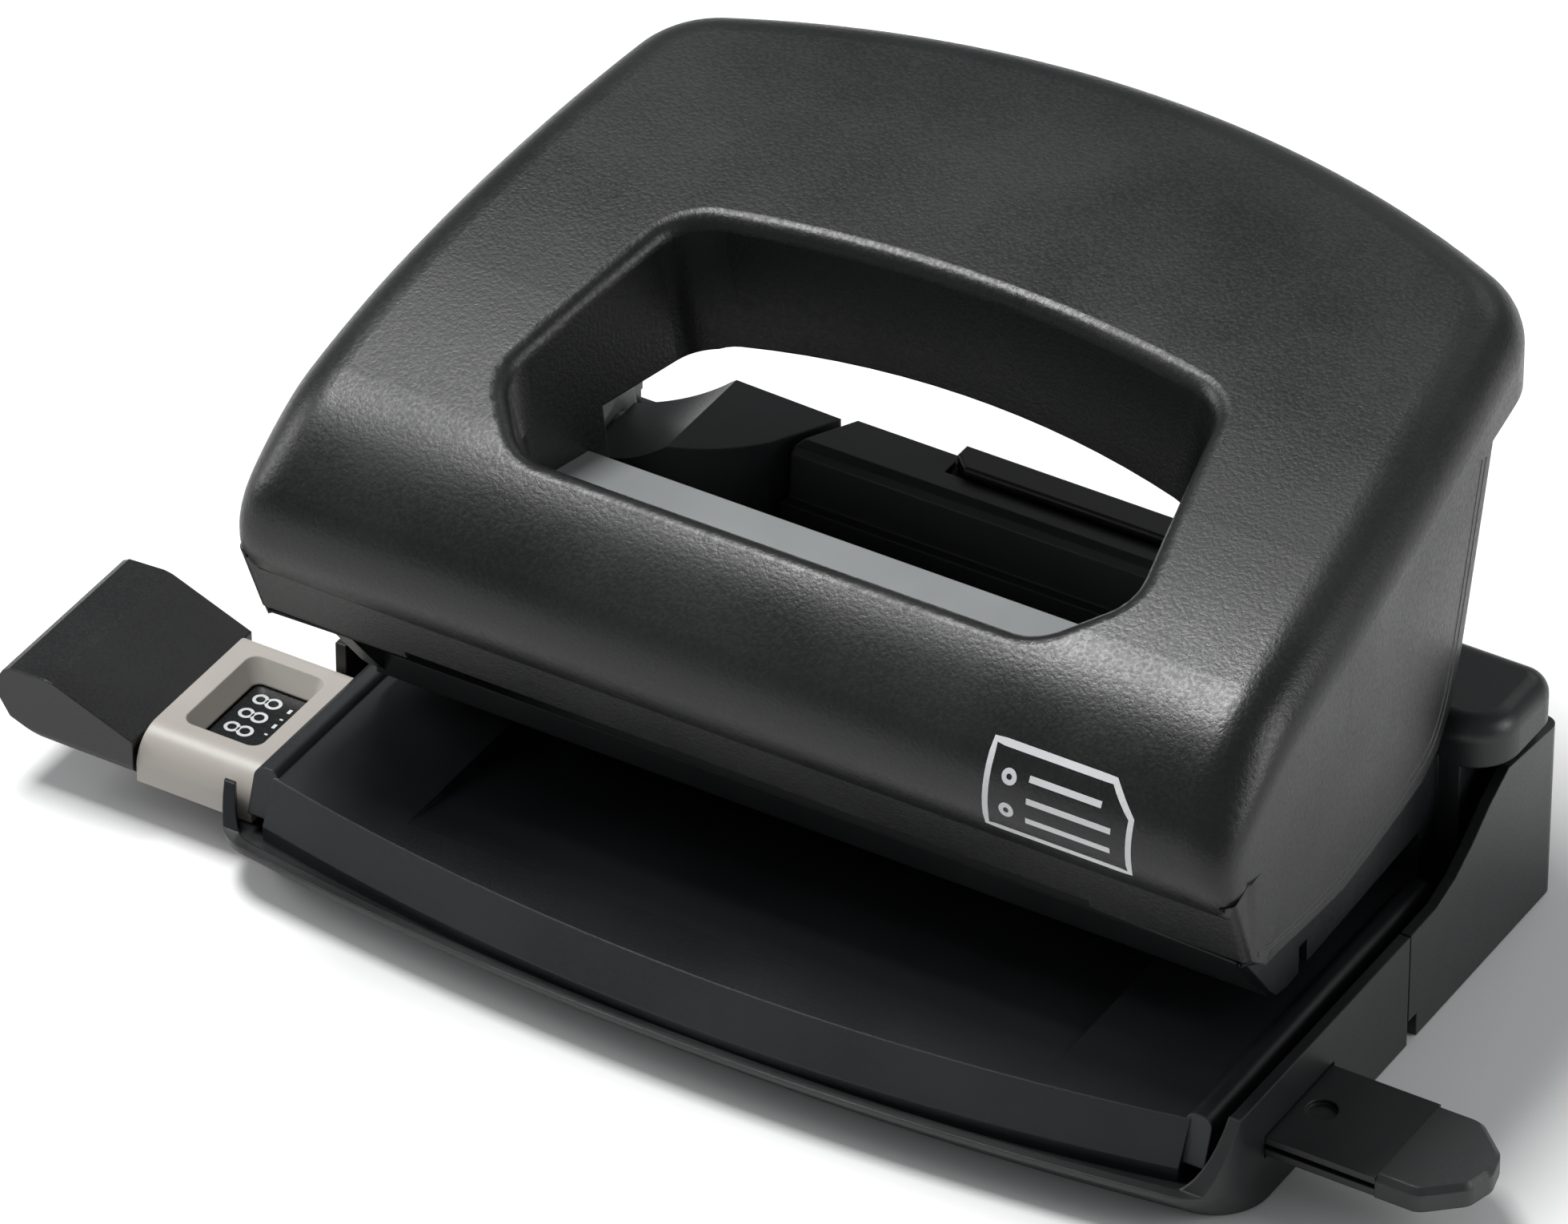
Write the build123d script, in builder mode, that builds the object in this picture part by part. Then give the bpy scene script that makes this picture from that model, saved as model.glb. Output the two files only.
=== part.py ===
"""Two-hole desk punch. Millimetres, +Z up, +Y away from the paper side.

Origin: centre of the tray's underside, on the plane of symmetry. The punch holes lie on the line
y = hole_y. Front means -Y, the side where the paper goes in.
"""
import os

from build123d import *

os.makedirs("parts", exist_ok=True)

# ---- standard and overall sizes
hole_spacing = 80.0        # between hole centres
hole_dia = 5.5
hole_margin = 12.0         # hole centre to the paper's rear edge
tray_width = 114.4
handle_width = 110.0
body_depth = 72.1          # tray lip to door back
handle_top = 65.8          # highest point of the handle

# ---- fits
running = 0.05             # radial clearance of turning and sliding round parts
gap = 0.25                 # between parts that move past each other
seat = 0.10                # between parts that are placed in each other

# ---- main planes
hole_y = 5.5
hole_x = hole_spacing / 2
slot_back = hole_y + hole_margin
deck_top = 11.2
jaw_under = 14.2
tray_front = -36.6         # lip, at the middle of the bow
door_back = tray_front + body_depth
seam_y = 5.5
pivot_y, pivot_z = 26.0, 23.4
axle_r = 1.8

# ---- walls
tray_wall = 1.2
tray_floor = 1.6
deck_wall = 1.5
handle_wall = 1.4
tray_half = tray_width / 2
deck_half = tray_half - 5.45     # inner edge of the bead
bead_width = 2.3
plate_out = tray_half - 5.8      # outer face of the housing cheeks
plate_wall = 2.0
ear_in, ear_wall = hole_x + 5.0, 1.8
ear_out = ear_in + ear_wall
shoulder_in = ear_out + 0.4


def finish(part, name):
    """Label a part and write it out."""
    part.label = name
    export_step(part, f"parts/{name}.step")


def mirrored(part):
    """The same part on the other side of the plane of symmetry."""
    return mirror(part, about=Plane.YZ)


def prism(points, x0, x1):
    """Solid between x0 and x1 with a side outline given as (y, z) points."""
    with BuildPart(mode=Mode.PRIVATE) as p:
        with BuildSketch(Plane.YZ.offset(x0)):
            with BuildLine():
                Polyline(*points, close=True)
            make_face()
        extrude(amount=x1 - x0)
    return p.part


def block(x0, x1, y0, y1, z0, z1):
    """Box between two corners."""
    return Pos((x0 + x1) / 2, (y0 + y1) / 2, (z0 + z1) / 2) * Box(x1 - x0, y1 - y0, z1 - z0)


def rod(x, y, z0, z1, r):
    """Upright round bar."""
    return Pos(x, y, (z0 + z1) / 2) * Cylinder(r, z1 - z0)


def cross_rod(y, z, x0, x1, r):
    """Round bar along X."""
    return Pos((x0 + x1) / 2, y, z) * Rot(0, 90, 0) * Cylinder(r, x1 - x0)


def both_sides(part):
    """A part and its mirror image as a list."""
    return [part, mirrored(part)]


# ---- base tray: shallow pan with a bowed front lip, open at the back
lip_z = 5.6                # height of the front lip
rim_z = 13.2               # height of the side walls
bow = 4.7                  # how far the front stands out in the middle
corner_r, rear_r = 6.0, 1.6


def tray_outline(inset, push=0.0):
    """Plan of the tray: bowed front, rounded corners, straight sides; push moves the front back."""
    w, f = tray_half - inset, tray_front + inset + push
    with BuildSketch(mode=Mode.PRIVATE) as s:
        with BuildLine():
            Line((w, door_back - inset), (w, f + bow))
            ThreePointArc((w, f + bow), (0, f), (-w, f + bow))
            Polyline((-w, f + bow), (-w, door_back - inset), (w, door_back - inset))
        make_face()
        fillet(s.vertices().group_by(Axis.Y)[0], radius=corner_r - inset)
        fillet(s.vertices().group_by(Axis.Y)[-1], radius=rear_r - 0.5 * inset)
    return s.sketch


bar_y0, bar_y1 = -22.5, -9.5       # tongue of the guide bar
bar_wide_y0 = -24.8                # front edge of the bar's marked part
bar_z0, bar_thick = 5.6, 2.2
bar_z1 = bar_z0 + bar_thick
slot_z0, slot_z1 = bar_z0 - gap, bar_z1 + 0.3
frame_z0 = 5.0                     # underside of the window frame
pan_z = 5.0                        # top of the slanted lower front
under_push = 5.2                   # how far the slanted front runs back at the bottom

pan = loft([Plane.XY * tray_outline(0, under_push), Pos(0, 0, pan_z) * tray_outline(0)], ruled=True)
pan += Pos(0, 0, pan_z) * extrude(tray_outline(0), amount=22 - pan_z)
hollow = Pos(0, 0, tray_floor) * extrude(tray_outline(tray_wall, under_push), amount=pan_z)
hollow += Pos(0, 0, pan_z) * extrude(tray_outline(tray_wall), amount=30)
pan -= hollow

hinge_y, hinge_z, hinge_r = seam_y + 1.9, 1.6, 1.6
pin_r = 0.8
lip_cut = [(-60, lip_z), (-31.2, lip_z), (-27.6, rim_z), (seam_y, rim_z), (seam_y, 40), (-60, 40)]
base = pan - prism(lip_cut, -70, 70)
base -= block(-70, 70, seam_y, 60, tray_floor + 1.4, 60)
base -= block(-70, 70, hinge_y - hinge_r - gap, 60, -5, 60)
base -= block(50, 70, bar_y0 - gap, bar_y1 + gap, slot_z0, slot_z1)
frame_y0, frame_y1 = -28.0, -7.9
base -= block(-70, -tray_half + 5, frame_y0 - seat, frame_y1 + seat, frame_z0 - seat, 40)
base -= prism([(-60, lip_z), (-30.6, lip_z), (frame_y0 - 0.5, 9.6), (frame_y0, 9.6), (frame_y0, 40), (-60, 40)],
              -70, -tray_half + 5)
lug_x0, lug_x1 = 41.0, 45.0
for side in (1, -1):
    lug = block(lug_x0, lug_x1, hinge_y - hinge_r - 3, hinge_y, 0, hinge_z * 2 - 0.4)
    lug += cross_rod(hinge_y, hinge_z, lug_x0, lug_x1, hinge_r)
    lug -= cross_rod(hinge_y, hinge_z, lug_x0 - 1, lug_x1 + 1, pin_r)
    base += lug if side > 0 else mirrored(lug)
base = base.solids().sort_by(SortBy.VOLUME)[-1]
finish(Part(base.wrapped), "base_tray")

# ---- chip door: rear of the tray, hinged at the seam
door_side = [(seam_y + gap, -1), (seam_y + gap, rim_z), (11.0, rim_z + 0.1), (14.5, 14.4), (17.5, 16.2),
             (21.0, 18.9), (25.0, 21.2), (60, 17.8), (60, -1)]
door = pan & prism(door_side, -70, 70)
door -= block(-70, 70, -60, hinge_y, -5, hinge_z + 1.2)
door_floor_front = cross_rod(hinge_y, hinge_z, -tray_half + tray_wall + 6, tray_half - tray_wall - 6, hinge_r)
door_floor_front -= block(-70, 70, hinge_y - 9, hinge_y + 9, hinge_z, 9)
door += door_floor_front & block(-70, 70, hinge_y - 9, hinge_y + 3, 0, 9)
knuckle_x0, knuckle_x1 = lug_x1 + gap, lug_x1 + 4.0
lug_space = block(lug_x0 - gap, knuckle_x0, hinge_y - 4, hinge_y + hinge_r + gap, -1, 6)
knuckle = cross_rod(hinge_y, hinge_z, knuckle_x0, knuckle_x1, hinge_r)
knuckle += block(knuckle_x0, knuckle_x1, hinge_y, hinge_y + 3, 0, hinge_z * 2 - 0.6)
bore = cross_rod(hinge_y, hinge_z, lug_x0 - 1, knuckle_x1 + 1, pin_r + running)
for flip in (False, True):
    cut, add_on, hole = (mirrored(p) if flip else p for p in (lug_space, knuckle, bore))
    door = door - cut + add_on - hole
door = door.solids().sort_by(SortBy.VOLUME)[-1]
finish(Part(door.wrapped), "chip_door")

hinge_pin = cross_rod(hinge_y, hinge_z, lug_x0 + 0.3, knuckle_x1 - 0.2, pin_r)
finish(Compound(children=both_sides(hinge_pin)), "door_hinge_pins")

# ---- deck: paper table with bead rims, sloped front and a valley down the middle
deck_front = -33.0
ridge_bow = 5.5
bevel_out, bevel_z = 2.2, 6.7
valley_half, valley_tip_y, valley_slope = 36.6, -26.8, 0.09


def deck_outline(push, inset=0.0):
    """Plan of the deck with its bowed front edge moved forward by push."""
    w, f = deck_half - inset, deck_front - push + inset
    with BuildSketch(mode=Mode.PRIVATE) as s:
        with BuildLine():
            Line((w, slot_back - seat), (w, f + ridge_bow))
            ThreePointArc((w, f + ridge_bow), (0, f), (-w, f + ridge_bow))
            Polyline((-w, f + ridge_bow), (-w, slot_back - seat), (w, slot_back - seat))
        make_face()
    return s.sketch


def deck_body(inset, drop):
    """Top of the deck with its sloped front; inset and drop make the hollow beneath it."""
    low = Pos(0, 0, bevel_z - drop) * deck_outline(bevel_out, inset)
    high = Pos(0, 0, deck_top - drop) * deck_outline(0, inset)
    lower = Pos(0, 0, -drop) * extrude(deck_outline(bevel_out, inset), amount=bevel_z)
    return loft([low, high], ruled=True) + lower


valley_back = slot_back + 1
valley_depth = (valley_back - valley_tip_y) * valley_slope
valley = prism([(valley_tip_y, deck_top), (valley_back, deck_top - valley_depth), (valley_back, deck_top + 3),
                (valley_tip_y, deck_top + 3)], -valley_half, valley_half)
deck = deck_body(0, 0) - block(-70, 70, -60, 60, -5, 2.0)
under = deck_body(deck_wall, deck_wall) - prism(
    [(valley_tip_y, deck_top - deck_wall), (valley_back, deck_top - deck_wall - valley_depth),
     (valley_back, deck_top + 3), (valley_tip_y, deck_top + 3)], -valley_half - deck_wall, valley_half + deck_wall)
deck = deck - valley - (under & block(-70, 70, -60, slot_back - 2.5, -9, 30))
clear = tray_wall + seat
inside = extrude(tray_outline(clear, under_push), amount=pan_z)
deck = deck & (inside + block(-70, 70, -60, 60, pan_z, 30))
bead_z0, bead_top = 9.0, 11.8
bead = block(deck_half - 0.6, deck_half + bead_width, -31.0, slot_back - 1.0, bevel_z + 0.2, bead_top)
bead = fillet(bead.edges().filter_by(Axis.Y).group_by(Axis.Z)[-1], radius=1.1)
bead = fillet(bead.edges().group_by(Axis.Y)[-1].filter_by(Axis.Z), radius=1.0)
bead -= prism([(-40, 5), (-29.3, 5), (-28.9, bevel_z), (-27.4, deck_top), (-27.1, 12.2), (-40, 12.2)], 40, 60)
skirt = block(deck_half - 1.2, deck_half + 1.2, -23.5, slot_back - 2.5, 2.0, bead_z0 + 0.4)
for piece in both_sides(bead) + both_sides(skirt):
    deck += piece
die_x, die_y, die_z = 14.0, 12.0, 1.5
for side in (1, -1):
    cx = side * hole_x
    deck += block(cx - die_x / 2 - 1.5, cx + die_x / 2 + 1.5, hole_y - die_y / 2 - 1.5, hole_y + die_y / 2 + 1.5,
                  deck_top - 4.4, deck_top - 0.2) - (valley & block(-37.6, 37.6, -60, 60, 0, 30))
    deck -= block(cx - die_x / 2 - seat, cx + die_x / 2 + seat, hole_y - die_y / 2 - seat,
                  hole_y + die_y / 2 + seat, deck_top - die_z, deck_top + 1)
    deck -= rod(cx, hole_y, 0, deck_top + 1, hole_dia / 2 + 0.9)
deck -= block(deck_half - 3, deck_half + 4, bar_y0 - gap, bar_y1 + gap, slot_z0, slot_z1)
deck -= block(-deck_half - 4, -deck_half + 3, bar_wide_y0 - gap, bar_y1 + gap, slot_z0, slot_z1)
screw_y, screw_x = 24.0, 36.0
tab_half, tab_y1, shelf_z0, shelf_z1 = 5.0, 29.0, 4.0, 6.0
chip_way = 29.0            # half width of the way from under the deck to the rear of the tray
deck -= block(-chip_way, chip_way, slot_back - 2.6, slot_back + 1, 1.0, shelf_z1)
for side in (1, -1):
    tab_x = sorted((side * (screw_x - tab_half), side * (screw_x + tab_half)))
    deck += block(*tab_x, slot_back - 2.6, tab_y1, shelf_z0, shelf_z1)
    deck -= rod(side * screw_x, screw_y, 0, 9, 1.6)
    deck -= rod(side * hole_x + 5.4, hole_y + 4.2, deck_top - 6, deck_top, 0.8)
    deck -= rod(side * hole_x - 5.4, hole_y - 4.2, deck_top - 6, deck_top, 0.8)
deck = deck.solids().sort_by(SortBy.VOLUME)[-1]
finish(Part(deck.wrapped), "deck")

# ---- die plates and their screws
dies, die_screws = [], []
for side in (1, -1):
    cx = side * hole_x
    die = block(cx - die_x / 2, cx + die_x / 2, hole_y - die_y / 2, hole_y + die_y / 2, deck_top - die_z, deck_top)
    die -= rod(cx, hole_y, 0, 20, hole_dia / 2 + 0.04)
    for dx, dy in ((5.4, 4.2), (-5.4, -4.2)):
        die -= rod(cx + dx, hole_y + dy, 0, 20, 0.8)
        die -= Pos(cx + dx, hole_y + dy, deck_top - 0.4) * Cone(0.8, 1.25, 0.8)
        screw = rod(cx + dx, hole_y + dy, deck_top - 4.2, deck_top - 0.6, 0.8)
        screw += Pos(cx + dx, hole_y + dy, deck_top - 0.42) * Cone(0.8, 1.15, 0.7)
        screw -= block(cx + dx - 0.15, cx + dx + 0.15, hole_y + dy - 0.9, hole_y + dy + 0.9, deck_top - 0.35, 20)
        die_screws.append(screw)
    dies.append(die)
finish(Compound(children=dies), "die_plates")
finish(Compound(children=die_screws), "die_screws")

# ---- punch housing: cheeks, upper jaw with guide bosses, back stop, rear beam and shoulders
cheek_side = [(-19.5, 26.0), (-11.9, 16.0), (-10.6, 14.6), (-8.4, 14.2), (-6.2, 14.4), (-6.2, 17.5), (-4.6, 17.5),
              (-4.6, 14.7), (slot_back, 15.9), (slot_back, 6.1), (21.5, 6.1), (21.5, 22.5), (12.0, 31.0),
              (-14.0, 32.0)]
cheek = prism(cheek_side, plate_out - plate_wall, plate_out)
shoulder_y0, shoulder_y1, shoulder_top = 21.0, 33.9, 27.5
over_z0 = 22.4             # underside of the part that reaches over the tray wall
shoulder = block(shoulder_in, plate_out + 2.4, shoulder_y0, shoulder_y1, 6.1, shoulder_top)
shoulder = fillet(shoulder.edges().filter_by(Axis.Z).group_by(Axis.X)[-1].sort_by(Axis.Y)[-1], radius=5.0)
shoulder += block(shoulder_in, tray_half + 0.4, shoulder_y0, shoulder_y1 + 0.3, over_z0, shoulder_top)
shoulder = fillet(shoulder.edges().filter_by(Axis.Z).group_by(Axis.X)[-1].sort_by(Axis.Y)[0], radius=5.0)
shoulder = fillet(shoulder.edges().filter_by(Axis.Z).group_by(Axis.X)[-1].sort_by(Axis.Y)[-1], radius=3.0)
shoulder = fillet(shoulder.edges().group_by(Axis.Z)[-1].filter_by_position(Axis.X, shoulder_in + 0.5, 70), radius=2.2)
jaw_y0, jaw_top = -10.8, 17.0
jaw = block(-plate_out + 1, plate_out - 1, jaw_y0, slot_back + 2.4, jaw_under, jaw_top)
stop_wall = block(-plate_out + 1, plate_out - 1, slot_back, slot_back + 2.4, 6.1, jaw_top)
beam = block(-shoulder_in - 2, shoulder_in + 2, slot_back + 2, shoulder_y1, 6.1, 14.6)
housing = jaw + stop_wall + beam
for piece in both_sides(cheek) + both_sides(shoulder):
    housing += piece
bush_r, bush_flange_r, boss_top = 4.2, 5.4, 21.0
for side in (1, -1):
    cx = side * hole_x
    housing += rod(cx, hole_y, jaw_under, boss_top, bush_flange_r + 0.6)
    housing -= rod(cx, hole_y, 0, 40, bush_r)
    housing -= rod(side * screw_x, screw_y, 0, 13.0, 1.25)
housing -= cross_rod(pivot_y, pivot_z, -51.0, 51.0, axle_r)
housing = housing.solids().sort_by(SortBy.VOLUME)[-1]
finish(Part(housing.wrapped), "punch_housing")

housing_screws = []
for side in (1, -1):
    screw = rod(side * screw_x, screw_y, shelf_z0, 12.5, 1.25) + rod(side * screw_x, screw_y, 2.6, shelf_z0, 2.6)
    housing_screws.append(screw - block(side * screw_x - 2, side * screw_x + 2, screw_y - 0.3, screw_y + 0.3, 2, 3.3))
finish(Compound(children=housing_screws), "housing_screws")

# ---- rear cover between the ears, with a flange along its front
cover_half, cover_top = 26.0, 28.0
cover = prism([(25.9, 14.7), (25.9, 21.3), (26.8, 21.6), (27.0, 26.8), (27.4, 27.6), (28.4, cover_top),
               (33.8, cover_top), (33.8, 14.7)], -cover_half, cover_half)
end_slant = (33.8 - 25.9, 4.3)     # how far each end runs in over its depth
with BuildPart() as cover_plan:
    with BuildSketch(Plane.XY.offset(14)):
        with BuildLine():
            Polyline((-cover_half, 25.9), (-cover_half + end_slant[1], 33.8), (cover_half - end_slant[1], 33.8),
                     (cover_half, 25.9), close=True)
        make_face()
    extrude(amount=20)
cover = cover & cover_plan.part
latch_x0, latch_x1, latch_back = -9.6, 20.5, 34.6
cover -= block(latch_x0 - gap, 40, 30.7, 40, cover_top - 0.9, 40)
cover -= block(-2.1, 2.1, 27.9, 40, cover_top - 3.6, cover_top - 0.9)
cover = cover.solids().sort_by(SortBy.VOLUME)[-1]
finish(Part(cover.wrapped), "rear_cover")

# ---- hinge covers: curved caps over the axle beside the rear cover
cap_out = ear_in - 0.6
with BuildPart() as cap:
    with BuildSketch(Plane.XZ.offset(-10)):
        with BuildLine():
            Polyline((-cap_out, 14.7), (-cap_out, 25.3))
            ThreePointArc((-cap_out, 25.3), (-40.0, 25.9), (-35.5, 28.3))
            Polyline((-35.5, 28.3), (-20.0, 27.9), (-20.0, 14.7), (-cap_out, 14.7))
        make_face()
    extrude(amount=-30)
    with BuildSketch(Plane.XY.offset(10)):
        with BuildLine():
            Polyline((-23.3, 33.2), (-27.3, 25.9))
            ThreePointArc((-27.3, 25.9), (-33.5, 20.6), (-cap_out, 18.6))
            Polyline((-cap_out, 18.6), (-cap_out, 28.2), (-36.0, 33.2), (-23.3, 33.2))
        make_face()
    extrude(amount=30, mode=Mode.INTERSECT)
    with Locations(Location((-40, pivot_y, pivot_z), (0, 90, 0))):
        Cylinder(axle_r, 10.4, mode=Mode.SUBTRACT)
    with Locations((-35.6, 20.5, 15.7)):
        Box(40, 6, 7.0, mode=Mode.SUBTRACT)
left_cap = cap.part.solids().sort_by(SortBy.VOLUME)[-1]
finish(Part(left_cap.wrapped), "hinge_cover_left")
finish(mirrored(Part(left_cap.wrapped)), "hinge_cover_right")

# ---- tray latch: strip on the rear cover with a finger tab behind it, above the door's edge
web_y, tab_z = shoulder_y1 + 0.15, 20.8
latch = block(latch_x0, latch_x1, 31.0, latch_back, cover_top - 0.7, cover_top + 1.1)
latch = chamfer(latch.edges().filter_by(Axis.Z).group_by(Axis.X)[0].sort_by(Axis.Y)[0], length=1.8)
latch = fillet(latch.edges().group_by(Axis.Z)[-1], radius=0.35)
latch += block(latch_x0 + 3, latch_x1 - 3, web_y, web_y + 1.0, tab_z, cover_top - 0.5)
latch += block(latch_x0 + 3, latch_x1 - 3, web_y, web_y + 3.0, tab_z, tab_z + 1.6)
latch += block(-1.4, 1.4, 31.4, 33.0, cover_top - 3.2, cover_top)
finish(Part(latch.wrapped), "tray_latch")

# ---- hinge axle and washers
axle = cross_rod(pivot_y, pivot_z, 36.0, 50.8, axle_r)
finish(Compound(children=both_sides(axle)), "hinge_axle")
washer = cross_rod(pivot_y, pivot_z, ear_out + 0.1, shoulder_in - 0.1, 3.6)
washer -= cross_rod(pivot_y, pivot_z, 30, 60, axle_r + running)
finish(Compound(children=both_sides(washer)), "axle_washers")

# ---- guide bushes
for side, name in ((-1, "left"), (1, "right")):
    cx = side * hole_x
    bush = rod(cx, hole_y, jaw_under + 0.2, boss_top, bush_r) + rod(cx, hole_y, boss_top, boss_top + 1, bush_flange_r)
    bush -= rod(cx, hole_y, 0, 40, hole_dia / 2 + running)
    finish(Part(bush.wrapped), f"guide_bush_{name}")

# ---- punch pins, retainers and return springs
pin_tip, pin_top, head_r = 15.6, 38.0, 4.5
ring_z0, ring_z1 = 33.6, 34.6
spring_z0, spring_z1, wire_r, coil_r = boss_top + 1.0, ring_z0, 0.4, 3.9
for side, name in ((-1, "left"), (1, "right")):
    cx = side * hole_x
    pin = rod(cx, hole_y, pin_tip, pin_top - 1, hole_dia / 2) + rod(cx, hole_y, pin_top - 1.8, pin_top, head_r)
    pin = chamfer(pin.edges().group_by(Axis.Z)[-1], length=0.4)
    pin -= rod(cx, hole_y, pin_tip - 1, pin_tip + 0.9, 1.9)
    finish(Part(pin.wrapped), f"punch_pin_{name}")
    ring = rod(cx, hole_y, ring_z0, ring_z1, 4.6) - rod(cx, hole_y, 0, 60, hole_dia / 2)
    ring -= block(cx - 1.5, cx + 1.5, hole_y - 6, hole_y - 2, 0, 60)
    finish(Part(ring.wrapped), f"pin_retainer_{name}")
    turns = 5.5
    length = spring_z1 - spring_z0 - 2 * wire_r - 0.1
    path = Helix(pitch=length / turns, height=length, radius=coil_r)
    with BuildPart(mode=Mode.PRIVATE) as coil:
        with BuildSketch(Plane(origin=path @ 0, z_dir=path % 0)):
            Circle(wire_r)
        sweep(path=path, is_frenet=True)
    finish(Pos(cx, hole_y, spring_z0 + wire_r + 0.05) * coil.part, f"return_spring_{name}")

# ---- handle shell
nose_low = (-26.5, 35.5)
chin_low_y, chin_low_z = -23.7, 28.6
back_y, tail_z = 54.8, 54.0
edge_r = 5.6
corner_y = 43.0            # where the sides and the back would meet


def handle_plan(inset):
    """Plan of the handle: sides that close in towards the back, rounded rear corners, curved back."""
    front_x, mid_x, rear_x = (handle_width / 2 + d - inset for d in (0.3, -0.3, -6.0))
    with BuildSketch(mode=Mode.PRIVATE) as plan:
        with BuildLine():
            ThreePointArc((front_x, -40 + inset), (mid_x, -2), (rear_x, corner_y - inset))
            ThreePointArc((rear_x, corner_y - inset), (0, back_y - inset), (-rear_x, corner_y - inset))
            ThreePointArc((-rear_x, corner_y - inset), (-mid_x, -2), (-front_x, -40 + inset))
            Line((-front_x, -40 + inset), (front_x, -40 + inset))
        make_face()
        fillet([v for v in plan.vertices() if v.Y > 25], radius=11.0 - inset)
    return plan.sketch


def handle_block(inset, radius):
    """Outer form of the handle before its lower edges are cut."""
    plan = extrude(Pos(0, 0, 10) * handle_plan(inset), amount=110)
    with BuildPart(mode=Mode.PRIVATE) as form:
        with BuildSketch(Plane.YZ):
            with BuildLine():
                run_in = Line((-9.5, 16), nose_low)
                nose = TangentArc(nose_low, (-27.0, 46.4), tangent=run_in % 1)
                brow = TangentArc((-27.0, 46.4), (-16.0, 54.3), tangent=nose % 1)
                crown = TangentArc((-16.0, 54.3), (0, 58.4), tangent=brow % 1)
                TangentArc((0, 58.4), (56.0, handle_top), tangent=crown % 1)
                Polyline((56.0, handle_top), (56.0, 16), (-9.5, 16))
            make_face()
        extrude(amount=60, both=True)
        add(plan, mode=Mode.INTERSECT)
        rim = [e for e in form.edges() if e.center().Z > 17 and e.length > 0.5
               and not (e.geom_type == GeomType.LINE and abs((e % 0.5).Z) > 0.99)
               and not (abs(e.center().X) < 5 and e.center().Y < 45)]
        fillet(rim, radius=radius)
    return form.part


def opening_outline(grow, tuck=0.0):
    """Plan of the hand opening; tuck draws its sides in."""
    g, t = grow, tuck
    with BuildSketch(mode=Mode.PRIVATE) as s:
        with BuildLine():
            Polyline((-30.4 + t - g, -19.0 + t - g), (30.4 - t + g, -19.0 + t - g), (36.4 - t + g, -10.5),
                     (30.6 - t + g, 15.0 + g))
            ThreePointArc((30.6 - t + g, 15.0 + g), (0, 18.4 + g), (-30.6 + t - g, 15.0 + g))
            Polyline((-30.6 + t - g, 15.0 + g), (-36.4 + t - g, -10.5), (-30.4 + t - g, -19.0 + t - g))
        make_face()
        fillet(s.vertices(), radius=6.0)
    return s.sketch


tunnel_wall = 1.8
outer = handle_block(0, edge_r)
cavity = Pos(0, handle_wall + 0.9, -2.2) * handle_block(handle_wall, edge_r - 1.0)
lower_cut = [(-60, 28.6), (-23.2, 28.6), (-20.5, 26.6), (-4.0, 24.4), (14.0, 24.7), (18.2, 26.0), (21.3, 29.2),
             (23.6, 34.5), (30.4, 54.5), (60, tail_z), (60, 0), (-60, 0)]
chin = prism([(-26.35, 35.3), (chin_low_y, chin_low_z), (chin_low_y + 1.8, chin_low_z), (-24.0, 36.2)],
             -handle_width / 2 + 1.0, handle_width / 2 - 1.0)
step_x = 38.3
chin -= block(-step_x, step_x, -40, 0, 0, chin_low_z + 1.0)
shell = outer - cavity - prism([(-21.9, 15), (-21.9, 28.6), (-24.3, 35.5), (-20, 40), (0, 40), (0, 15)], -53.0, 53.0)
cheek_fill = prism([(-26.5, 35.7), (chin_low_y, chin_low_z), (-20.3, 26.5), (-10.0, 25.2), (-10.0, 36.5),
                    (-24, 38.5), (-26.9, 37.4)], -60, 60)
cheek_fill = cheek_fill & extrude(handle_plan(0), amount=60)
cheek_fill -= extrude(handle_plan(2.0), amount=60) & block(-60, 60, -36, 40, 0, 60)
cheek_edge = [e for e in cheek_fill.edges() if abs(e.center().X) > 54 and e.center().Y < -24.5 and e.length > 5]
cheek_fill = fillet(cheek_edge, radius=0.9)
shell += chin + cheek_fill
tube_top, tube_low = 64.0, 40.0
draft_in = 3.4
tube_out = loft([Pos(0, 0, tube_low) * opening_outline(tunnel_wall, draft_in),
                 Pos(0, 0, tube_top) * opening_outline(tunnel_wall)], ruled=True)
tube_in = loft([Pos(0, 0, tube_low - 0.01) * opening_outline(0, draft_in),
                Pos(0, 0, tube_top + 0.01) * opening_outline(0)], ruled=True)
skirt_cut = prism([(-40, 0), (-40, 42.3), (-1.2, 42.3), (-1.2, 40.0), (1.0, 40.0), (1.2, 46.1), (15.0, 46.3),
                   (20, 49.0), (60, 52), (60, 0)], -60, 60)
shell += (tube_out & outer) - skirt_cut
shell -= tube_in
bosses = ((42.0, -13.0, 42.5, 54.0), (41.0, 20.5, 54.0, 60.0))
for bx, by, z0, z1 in bosses:
    for side in (1, -1):
        shell += rod(side * bx, by, z0, z1, 2.8) - rod(side * bx, by, z0 - 1, z1 - 2, 1.1)
shell -= prism(lower_cut, -70, 70)
shell = shell.solids().sort_by(SortBy.VOLUME)[-1]
rim = [e for e in shell.edges() if abs(e.center().X) < 37 and abs(e.center().Y) < 20
       and e.center().Z > 57.0 + 0.23 * e.center().Y]
shell = fillet(rim, radius=1.8)
finish(Part(shell.solid().wrapped), "handle_shell")

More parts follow.
